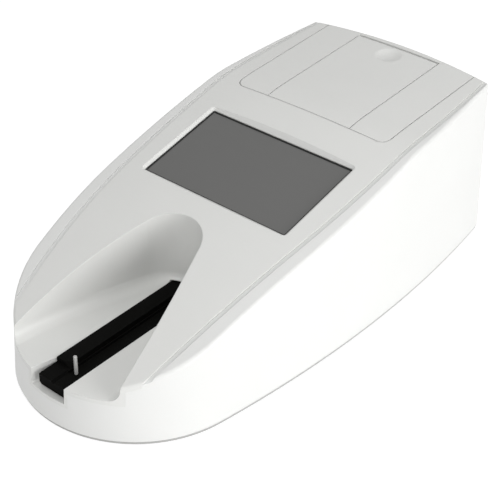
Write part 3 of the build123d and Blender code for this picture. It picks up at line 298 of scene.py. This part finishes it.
def rgba(colour):
    """A colour with its alpha; a link passes through."""
    if isinstance(colour, Port):
        return colour
    return (*colour, 1.0)


def shade(colour, factor):
    """A colour made lighter or darker."""
    return tuple(min(1.0, c * factor) for c in colour)


def squeezed(axis, along, across):
    """Noise scales of the three axes: one for the named axis, one for the two others."""
    return tuple(along if name == axis else across for name in "XYZ")


# ---- Finishes --------------------------------------------------------------------------------------------
def moulded_plastic(
    name, colour, roughness=SATIN, grain=GRAIN, depth=GRAIN_DEPTH, edge=SOFT_EDGE,
    specular=SHEEN, tight_before=None,
):
    """Spark-eroded moulding: fine grain, faint flow clouds in colour and gloss, and a soft edge.

    Ahead of the Y in tight_before, where the nose seam is shut tight, most of the soft edge is gone.
    """
    f = Finish(name)
    if tight_before is not None:
        share = ((f.axis("Y") - tight_before) / FADE_LENGTH).most(TIGHT_SHARE).least(1.0)
        edge = share * edge
    clouds = f.noise(38 * MM, 3.0)
    fine = f.noise(grain, 2.0)
    specks = f.noise(grain * 3.1, 1.0)
    tone = clouds * 0.7 + specks * 0.3
    tinted = f.tint(shade(colour, 0.965), shade(colour, 1.03), tone)
    gloss = roughness - 0.05 + clouds * 0.06 + fine * 0.05
    return f.surface(tinted, gloss, 0.0, fine + specks * 0.5, depth, edge, {"Specular IOR Level": specular})


def foam(name, colour):
    """Closed-cell foam: small round hollows, with painted shade darkening their middles."""
    f = Finish(name)
    pits_and_pit_shade = f.cells(1.0 / (0.5 * MM))
    # Painted shade: the pits' middles are darker, where shade would fall in them.
    tinted = f.tint(shade(colour, 0.6), shade(colour, 1.6), pits_and_pit_shade)
    return f.surface(tinted, 0.9, 0.0, pits_and_pit_shade, 0.08 * MM)


def rubber(name, colour, grain=0.6 * MM):
    """Ground rubber: matt, paler in soft clouds on its high spots."""
    f = Finish(name)
    fine = f.noise(grain, 4.0)
    pale_clouds = f.noise(6 * MM, 3.0)
    # Paler where the bump is high, in soft clouds.
    tinted = f.tint(shade(colour, 0.8), shade(colour, 1.9), pale_clouds * fine)
    return f.surface(tinted, 0.72 + fine * 0.15, 0.0, fine, 0.03 * MM, 0.3 * MM)


def drawn_metal(name, colour, roughness, lines, edge=0.15 * MM):
    """Metal with fine lines: lines holds the noise scale of each axis, as squeezed() gives it."""
    f = Finish(name)
    brushed = f.noise(1.0, 3.0, f.stretched(lines))
    stains = f.noise(9 * MM, 3.0)
    tinted = f.tint(shade(colour, 0.86), shade(colour, 1.08), brushed * 0.6 + stains * 0.4)
    gloss = roughness + brushed * 0.14 + stains * 0.06
    return f.surface(tinted, gloss, 1.0, brushed, 0.004 * MM, edge)


def circuit_board(name, mask, copper):
    """Solder mask over a maze of tracks, with plated pads."""
    f = Finish(name)
    x = f.axis("X")
    y = f.axis("Y")
    blocks = f.cells(BLOCKS_PER_METRE, "CHEBYCHEV")
    bands = (x + y * TRACK_SLANT + f.noise(14 * MM, 0.0) * TRACK_WANDER) * TRACK_WAVES
    tracks = bands.math("SINE", bands).over(0.35)
    pads = 1.0 - f.cells(1.0 / PAD_PITCH).over(0.22)
    track_tone = f.tint(mask, shade(mask, 1.55), tracks * blocks.over(0.25))
    tinted = f.tint(track_tone, copper, pads)
    return f.surface(tinted, 0.34 + pads * 0.1, pads * 0.8, tracks * 0.4 + pads, 0.03 * MM, 0.1 * MM)


def wound_paper(name, colour, middle):
    """Coated paper wound on a roll: fine rings on its ends, with painted shade darkening the gaps between
    wraps, and fibres on its face.
    """
    f = Finish(name)
    y = f.axis("Y") - middle[0]
    z = f.axis("Z") - middle[1]
    radius = (y * y + z * z) ** 0.5
    rings = radius * 9000.0
    wraps_and_gap_shade = rings.math("SINE", rings) * 0.5 + 0.5
    fibres = f.noise(0.5 * MM, 5.0)
    # Painted shade: the rings are darker where the wraps' bump is low.
    tinted = f.tint(shade(colour, 0.84), colour, wraps_and_gap_shade * 0.5 + fibres * 0.5)
    return f.surface(tinted, 0.55, 0.0, wraps_and_gap_shade + fibres * 0.4, 0.03 * MM)


def thin_paper(name, colour):
    """Heat-sensitive paper: smooth, with faint fibres."""
    f = Finish(name)
    fibres = f.noise(0.7 * MM, 5.0)
    tinted = f.tint(shade(colour, 0.95), colour, fibres)
    return f.surface(tinted, 0.5 + fibres * 0.08, 0.0, fibres, 0.01 * MM)


def touch_glass(name, colour, roughness):
    """Anti-glare glass over a dark panel: a fine even etch, faint wiping marks."""
    f = Finish(name)
    etch = f.noise(0.12 * MM, 1.0)
    wiped = f.noise(1.0, 2.0, f.stretched((26.0, 110.0, 26.0)))
    tinted = f.tint(shade(colour, 0.97), shade(colour, 1.03), wiped)
    return f.surface(tinted, roughness + wiped * 0.05, 0.0, etch, 0.002 * MM, 0.1 * MM)


def clear_glass(name):
    """Polished lens with a faint coating tint."""
    f = Finish(name)
    haze = f.noise(2 * MM, 2.0)
    values = {"Transmission Weight": 1.0, "IOR": 1.52, "Coat Weight": 0.2}
    return f.surface(f.tint(LENS_TINT, CLEAR, haze), 0.02 + haze * 0.02, constants=values)


def glazed(name, colour):
    """Glazed ceramic: glossy with a soft mottle."""
    f = Finish(name)
    mottle = f.noise(1.2 * MM, 3.0)
    tinted = f.tint(shade(colour, 0.94), shade(colour, 1.02), mottle)
    return f.surface(tinted, 0.14 + mottle * 0.08, 0.0, mottle, 0.004 * MM, 0.1 * MM)


# Each metal's colour, roughness and lines, and each plain plastic's own values.
METALS = {
    "bracket_steel": ((0.50, 0.51, 0.52), 0.34, squeezed("X", 150.0, 4000.0)),
    "screw_zinc": ((0.48, 0.48, 0.47), 0.28, squeezed("Z", 300.0, 2200.0)),
    "shaft_steel": ((0.55, 0.55, 0.55), 0.18, squeezed("X", 5000.0, 200.0)),
    "pinion_brass": ((0.66, 0.44, 0.16), 0.22, squeezed("X", 300.0, 4000.0)),
    "motor_can": ((0.44, 0.45, 0.46), 0.26, squeezed("X", 160.0, 3000.0)),
    "barrel_aluminium": ((0.35, 0.36, 0.38), 0.3, squeezed("Z", 300.0, 3000.0)),
    "sink_aluminium": ((0.55, 0.56, 0.58), 0.3, squeezed("X", 150.0, 3000.0)),
    "standoff_brass": ((0.62, 0.44, 0.18), 0.3, squeezed("Z", 200.0, 3000.0)),
    "capacitor_can": ((0.50, 0.52, 0.56), 0.25, squeezed("Z", 150.0, 2500.0)),
    "port_plating": ((0.50, 0.50, 0.49), 0.3, squeezed("Y", 250.0, 2500.0)),
}
PLASTICS = {
    "module_black": {"colour": (0.012, 0.012, 0.013), "roughness": 0.5},
    "gear_acetal": {
        "colour": (0.72, 0.70, 0.62), "roughness": 0.3,
        "grain": 0.25 * MM, "depth": 0.003 * MM, "edge": 0.1 * MM,
    },
    "guide_grey": {
        "colour": (0.075, 0.08, 0.085), "roughness": 0.5, "grain": 0.4 * MM, "depth": 0.015 * MM,
    },
    "part_black": {"colour": (0.012, 0.012, 0.012), "roughness": 0.45},
    "core_grey": {"colour": (0.28, 0.28, 0.28)},
    "chip_black": {"colour": (0.012, 0.012, 0.013), "roughness": 0.55, "grain": 0.2 * MM},
    "socket_black": {"colour": (0.012, 0.012, 0.012), "roughness": 0.38, "grain": 0.3 * MM},
    "rocker_black": {
        "colour": (0.016, 0.016, 0.016), "roughness": 0.28, "grain": 0.25 * MM, "depth": 0.004 * MM,
    },
    "port_violet": {"colour": (0.075, 0.05, 0.14), "roughness": 0.35},
}


def metal(name):
    """The drawn metal of that name."""
    return drawn_metal(name, *METALS[name])


def plastic(name):
    """The moulded plastic of that name."""
    return moulded_plastic(name, **PLASTICS[name])


# ---- Pieces worked out with numpy ------------------------------------------------------------------------
def strip_piece(name, path, width, thickness, material):
    """A thin strip across X along a path of (Y, Z) points.

    Its cross-section is a rectangle of width by thickness that stands square to the path:
    point = path(i) + normal(i) * (-1 or 1) * thickness / 2, at X = (-1 or 1) * width / 2.
    """
    path = np.asarray(path, float)
    run = np.gradient(path, axis=0)
    run /= np.linalg.norm(run, axis=1)[:, None]
    normal = np.stack([-run[:, 1], run[:, 0]], 1)
    side = np.array([-1.0, 1.0, 1.0, -1.0]) * width / 2
    lift = np.array([-1.0, -1.0, 1.0, 1.0]) * thickness / 2
    points = np.empty((len(path), 4, 3))
    points[:, :, 0] = side
    points[:, :, 1:] = path[:, None, :] + normal[:, None, :] * lift[None, :, None]
    first = (np.arange(len(path) - 1) * 4)[:, None]
    corner = np.arange(4)[None, :]
    after = (corner + 1) % 4
    quads = np.stack([first + corner, first + corner + 4, first + after + 4, first + after], 2).reshape(-1, 4)
    last = 4 * (len(path) - 1)
    caps = np.array([[0, 1, 2, 3], [last + 3, last + 2, last + 1, last]])
    mesh = bpy.data.meshes.new(name)
    mesh.from_pydata(points.reshape(-1, 3).tolist(), [], np.vstack([quads, caps]).tolist())
    mesh.update()
    mesh.materials.append(material)
    piece = bpy.data.objects.new(name, mesh)
    bpy.context.scene.collection.objects.link(piece)
    return piece


def arc_points(middle, radius, start, end, count):
    """Points on a circle in the YZ plane, from one angle to another, in radians from +Y towards +Z."""
    angle = np.linspace(start, end, count)
    return np.stack([middle[0] + radius * np.cos(angle), middle[1] + radius * np.sin(angle)], 1)


def middle_of(node):
    """Middle of a CAD node in Y and Z, and half its height."""
    low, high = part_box(node)
    return ((low.y + high.y) / 2, (low.z + high.z) / 2), (high.z - low.z) / 2


def dress(material, *nodes):
    """Gives CAD nodes a material."""
    for name in nodes:
        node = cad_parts[name]
        node.data.materials.clear()
        node.data.materials.append(material)


# ---- Operators -------------------------------------------------------------------------------------------
class FinishHousing(bpy.types.Operator):
    """Dress the shell, covers, lid and base in satin plastic"""

    bl_idname = "analyzer.finish_housing"
    bl_label = "Housing"

    def execute(self, context):
        p = context.scene.analyzer_housing
        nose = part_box("side_shell")[0].y
        look = {
            "roughness": p.roughness, "grain": p.grain, "depth": p.grain_depth,
            "edge": p.edge_radius, "tight_before": nose + p.tight_length,
        }
        # The shell's lighter colour is painted light on the side wall.
        dress(moulded_plastic("shell_plastic", p.lit_shell_colour, **look), "side_shell")
        cover = moulded_plastic("cover_plastic", p.cover_colour, **look)
        dress(cover, "top_cover", "printer_cover", "paper_lid")
        # The base plate's dark grey is painted shade under the shell's edge.
        dress(moulded_plastic("base_plastic", p.shaded_base_colour, p.roughness, p.grain), "base_plate")
        dress(rubber("feet_rubber", FEET_BLACK), "rubber_feet")
        return {"FINISHED"}


class FinishScreen(bpy.types.Operator):
    """Dress the touch screen and what holds it"""

    bl_idname = "analyzer.finish_screen"
    bl_label = "Screen"

    def execute(self, context):
        p = context.scene.analyzer_screen
        dress(touch_glass("screen_glass", p.glass_colour, p.roughness), "touch_screen")
        dress(foam("gasket_foam", p.frame_colour), "display_gasket")
        dress(plastic("module_black"), "display_module")
        dress(metal("bracket_steel"), "display_bracket", "motor_bracket")
        dress(metal("screw_zinc"), "display_screws", "base_screws", "board_screws")
        return {"FINISHED"}


class FinishTray(bpy.types.Operator):
    """Dress the strip tray, its pin and pad"""

    bl_idname = "analyzer.finish_tray"
    bl_label = "Tray"

    def execute(self, context):
        p = context.scene.analyzer_tray
        tray_look = {
            "roughness": 0.6, "grain": 0.3 * MM, "depth": 0.01 * MM, "edge": 0.35 * MM, "specular": 0.02,
        }
        dress(moulded_plastic("tray_black", p.tray_colour, **tray_look), "strip_tray")
        pin_look = {"roughness": 0.3, "grain": 0.2 * MM, "depth": 0.003 * MM, "edge": 0.2 * MM}
        dress(moulded_plastic("pin_grey", p.pin_colour, **pin_look), "strip_stop_pin")
        dress(glazed("pad_white", p.pad_colour), "reference_pad")
        return {"FINISHED"}


class FinishDrive(bpy.types.Operator):
    """Dress the guide, gears, shafts and motors"""

    bl_idname = "analyzer.finish_drive"
    bl_label = "Drive"

    def execute(self, context):
        gears = ("tray_rack", "rack_pinion", "drive_wheel", "platen_gear", "printer_gear")
        shafts = ("drive_axle", "motor_shaft", "platen_shaft", "printer_shaft", "lid_pins")
        dress(plastic("gear_acetal"), *gears)
        dress(plastic("guide_grey"), "tray_guide", "printer_frame", "paper_bucket")
        dress(metal("shaft_steel"), *shafts)
        dress(metal("pinion_brass"), "motor_pinion")
        dress(metal("motor_can"), "tray_motor", "printer_motor")
        dress(plastic("part_black"), "home_sensor", "optical_housing")
        return {"FINISHED"}


class FinishOptics(bpy.types.Operator):
    """Dress the reading head"""

    bl_idname = "analyzer.finish_optics"
    bl_label = "Optics"

    def execute(self, context):
        dress(clear_glass("lens_glass"), "lens")
        dress(metal("barrel_aluminium"), "lens_barrel")
        dress(metal("sink_aluminium"), "head_sink")
        dress(glazed("lamp_white", LAMP_CREAM), "lamps")
        dress(circuit_board("lamp_board_white", MASK_WHITE, PAD_GOLD), "lamp_board")
        return {"FINISHED"}


class FinishPrinter(bpy.types.Operator):
    """Dress the thermal head, platen and paper roll"""

    bl_idname = "analyzer.finish_printer"
    bl_label = "Printer"

    def execute(self, context):
        middle, _ = middle_of("paper_roll")
        dress(wound_paper("roll_paper", PAPER_WHITE, middle), "paper_roll")
        dress(plastic("core_grey"), "roll_core")
        dress(rubber("platen_rubber", PLATEN_BLACK, 0.3 * MM), "platen_roller")
        dress(glazed("head_ceramic", CERAMIC_TAN), "thermal_head")
        return {"FINISHED"}


class FeedPaper(bpy.types.Operator):
    """Lead the paper from the roll over the bucket's rear edge and round the platen to the slot"""

    bl_idname = "analyzer.feed_paper"
    bl_label = "Paper"

    def execute(self, context):
        p = context.scene.analyzer_paper
        roll, roll_radius = middle_of("paper_roll")
        platen, platen_radius = middle_of("platen_roller")
        bucket_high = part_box("paper_bucket")[1]
        lid_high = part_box("paper_lid")[1]
        guide = (bucket_high.y, bucket_high.z + p.guide_gap)
        leave = arc_points(roll, roll_radius + p.thickness, ROLL_START, ROLL_LEAVE, 10)
        wrap = arc_points(platen, platen_radius + p.thickness, PLATEN_MEET, PLATEN_LEAVE, 16)
        turn = np.array([guide]) + np.array(GUIDE_BEND)
        slot = np.array([(lid_high.y + END_BEHIND_LID, lid_high.z - p.end_depth)])
        rise = slot - (slot - wrap[-1]) * np.array([RISE_BEND])
        path = np.vstack([leave, turn, wrap, rise, slot])
        strip_piece("paper_web", path, p.width, p.thickness, thin_paper("web_paper", PAPER_WHITE))
        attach(bpy.data.objects["paper_web"], "housing")
        return {"FINISHED"}


class FinishBoards(bpy.types.Operator):
    """Dress the boards and what they carry"""

    bl_idname = "analyzer.finish_boards"
    bl_label = "Boards"

    def execute(self, context):
        green = circuit_board("board_green", MASK_GREEN, PAD_GOLD)
        dress(green, "main_board", "socket_board", "detector_board")
        dress(metal("standoff_brass"), "board_standoffs")
        dress(plastic("chip_black"), "board_chips")
        dress(metal("capacitor_can"), "board_capacitors")
        return {"FINISHED"}


class FinishSockets(bpy.types.Operator):
    """Dress the rear sockets, switch and rocker"""

    bl_idname = "analyzer.finish_sockets"
    bl_label = "Sockets"

    def execute(self, context):
        dress(plastic("socket_black"), "power_socket", "switch_body")
        dress(plastic("rocker_black"), "power_rocker")
        dress(metal("port_plating"), "serial_port")
        dress(plastic("port_violet"), "keyboard_port")
        return {"FINISHED"}


class SetStage(bpy.types.Operator):
    """Add the floor, lamps, surroundings and camera"""

    bl_idname = "analyzer.set_stage"
    bl_label = "Stage"

    def execute(self, context):
        p = context.scene.analyzer_stage
        self.add_floor(p)
        self.add_world(context, p)
        self.add_lamp("front_lamp", Vector(FRONT_LAMP), p.front_level)
        self.add_lamp("right_lamp", Vector(RIGHT_LAMP), p.right_level)
        self.add_lamp("top_lamp", Vector(TOP_LAMP), p.top_level)
        self.add_camera(context, p)
        context.scene.view_settings.view_transform = "Standard"
        return {"FINISHED"}

    def add_floor(self, p):
        """A square sheet under the feet that the camera sees as white, with the object's shadow kept."""
        mesh = bpy.data.meshes.new("floor")
        signs = ((-1, -1), (1, -1), (1, 1), (-1, 1))
        corners = [(x * FLOOR_HALF, y * FLOOR_HALF, 0.0) for x, y in signs]
        mesh.from_pydata(corners, [], [(0, 1, 2, 3)])
        floor = bpy.data.objects.new("floor", mesh)
        bpy.context.scene.collection.objects.link(floor)
        f = Finish("floor_pale")
        seen = seen_directly(f)
        mottle = f.noise(FLOOR_MOTTLE, 3.0)
        pale = f.tint(shade(p.floor_colour, 0.995), p.floor_colour, mottle)
        paper = f.node("ShaderNodeBsdfDiffuse", {}, {"Color": pale})
        white = f.node("ShaderNodeEmission", {}, {"Strength": FLOOR_WHITE})
        mix = f.node("ShaderNodeMixShader", {}, {0: seen * FLOOR_WHITE_SHARE, 1: paper, 2: white})
        f.node("ShaderNodeOutputMaterial", {}, {"Surface": mix})
        mesh.materials.append(f.material)

    def add_world(self, context, p):
        context.scene.world = bpy.data.worlds.new("surroundings")
        f = Finish("surroundings", context.scene.world)
        strength = p.world_level + seen_directly(f) * (1.0 - p.world_level)
        sky = f.node("ShaderNodeBackground", {}, {"Strength": strength})
        f.node("ShaderNodeOutputWorld", {}, {"Surface": sky})

    def add_lamp(self, name, place, level):
        """A soft square lamp turned to the object; level 1 lights a white face turned to it to about 1."""
        light = bpy.data.lights.new(name, "AREA")
        light.size = LAMP_SIZE
        light.energy = pi ** 2 * level * place.length_squared
        lamp = bpy.data.objects.new(name, light)
        turned = place.to_track_quat("Z", "Y").to_matrix().to_4x4()
        lamp.matrix_world = Matrix.Translation(place) @ turned
        bpy.context.scene.collection.objects.link(lamp)

    def add_camera(self, context, p):
        """Places the camera on its azimuth, elevation and distance from the target, then rolls it."""
        a = p.azimuth
        e = p.elevation
        back = Vector((sin(a) * cos(e), -cos(a) * cos(e), sin(e)))
        right = Vector((cos(a), sin(a), 0.0))
        up = back.cross(right)
        turned_right = right * cos(p.roll) + up * sin(p.roll)
        turned_up = up * cos(p.roll) - right * sin(p.roll)
        data = bpy.data.cameras.new("camera")
        data.sensor_width = SENSOR_WIDTH
        data.lens = p.lens
        camera = bpy.data.objects.new("camera", data)
        axes = Matrix((turned_right, turned_up, back)).transposed().to_4x4()
        camera.matrix_world = Matrix.Translation(Vector(p.target) + back * p.distance) @ axes
        context.scene.collection.objects.link(camera)
        context.scene.camera = camera


def seen_directly(f):
    """1 for camera, glossy and transmitted rays, 0 for the light that falls on the object."""
    camera = f.node("ShaderNodeLightPath", out="Is Camera Ray")
    glossy = f.node("ShaderNodeLightPath", out="Is Glossy Ray")
    transmitted = f.node("ShaderNodeLightPath", out="Is Transmission Ray")
    return camera.most(glossy).most(transmitted)


class AnalyzerPanel(bpy.types.Panel):
    """Lists the steps that dress the analyzer"""

    bl_idname = "VIEW3D_PT_analyzer"
    bl_label = "Urine Analyzer"
    bl_space_type = "VIEW_3D"
    bl_region_type = "UI"
    bl_category = "Analyzer"

    def draw(self, context):
        for step in STEPS:
            self.layout.operator(step.bl_idname)
        for name in SETTINGS:
            group = getattr(context.scene, name)
            for key in group.bl_rna.properties.keys():
                if key not in ("rna_type", "name"):
                    self.layout.prop(group, key)


SETTINGS = {
    "analyzer_housing": HousingFinish,
    "analyzer_screen": ScreenFinish,
    "analyzer_tray": TrayFinish,
    "analyzer_paper": PaperSizes,
    "analyzer_stage": StageSetting,
}
STEPS = (
    FinishHousing,
    FinishScreen,
    FinishTray,
    FinishDrive,
    FinishOptics,
    FinishPrinter,
    FeedPaper,
    FinishBoards,
    FinishSockets,
    SetStage,
)


def register():
    for name, group in SETTINGS.items():
        bpy.utils.register_class(group)
        setattr(bpy.types.Scene, name, bpy.props.PointerProperty(type=group))
    for step in STEPS:
        bpy.utils.register_class(step)
    bpy.utils.register_class(AnalyzerPanel)


def unregister():
    bpy.utils.unregister_class(AnalyzerPanel)
    for step in reversed(STEPS):
        bpy.utils.unregister_class(step)
    for name, group in SETTINGS.items():
        delattr(bpy.types.Scene, name)
        bpy.utils.unregister_class(group)


def main():
    register()
    for step in STEPS:
        area, name = step.bl_idname.split(".")
        getattr(getattr(bpy.ops, area), name)()


if __name__ == "__main__":
    main()
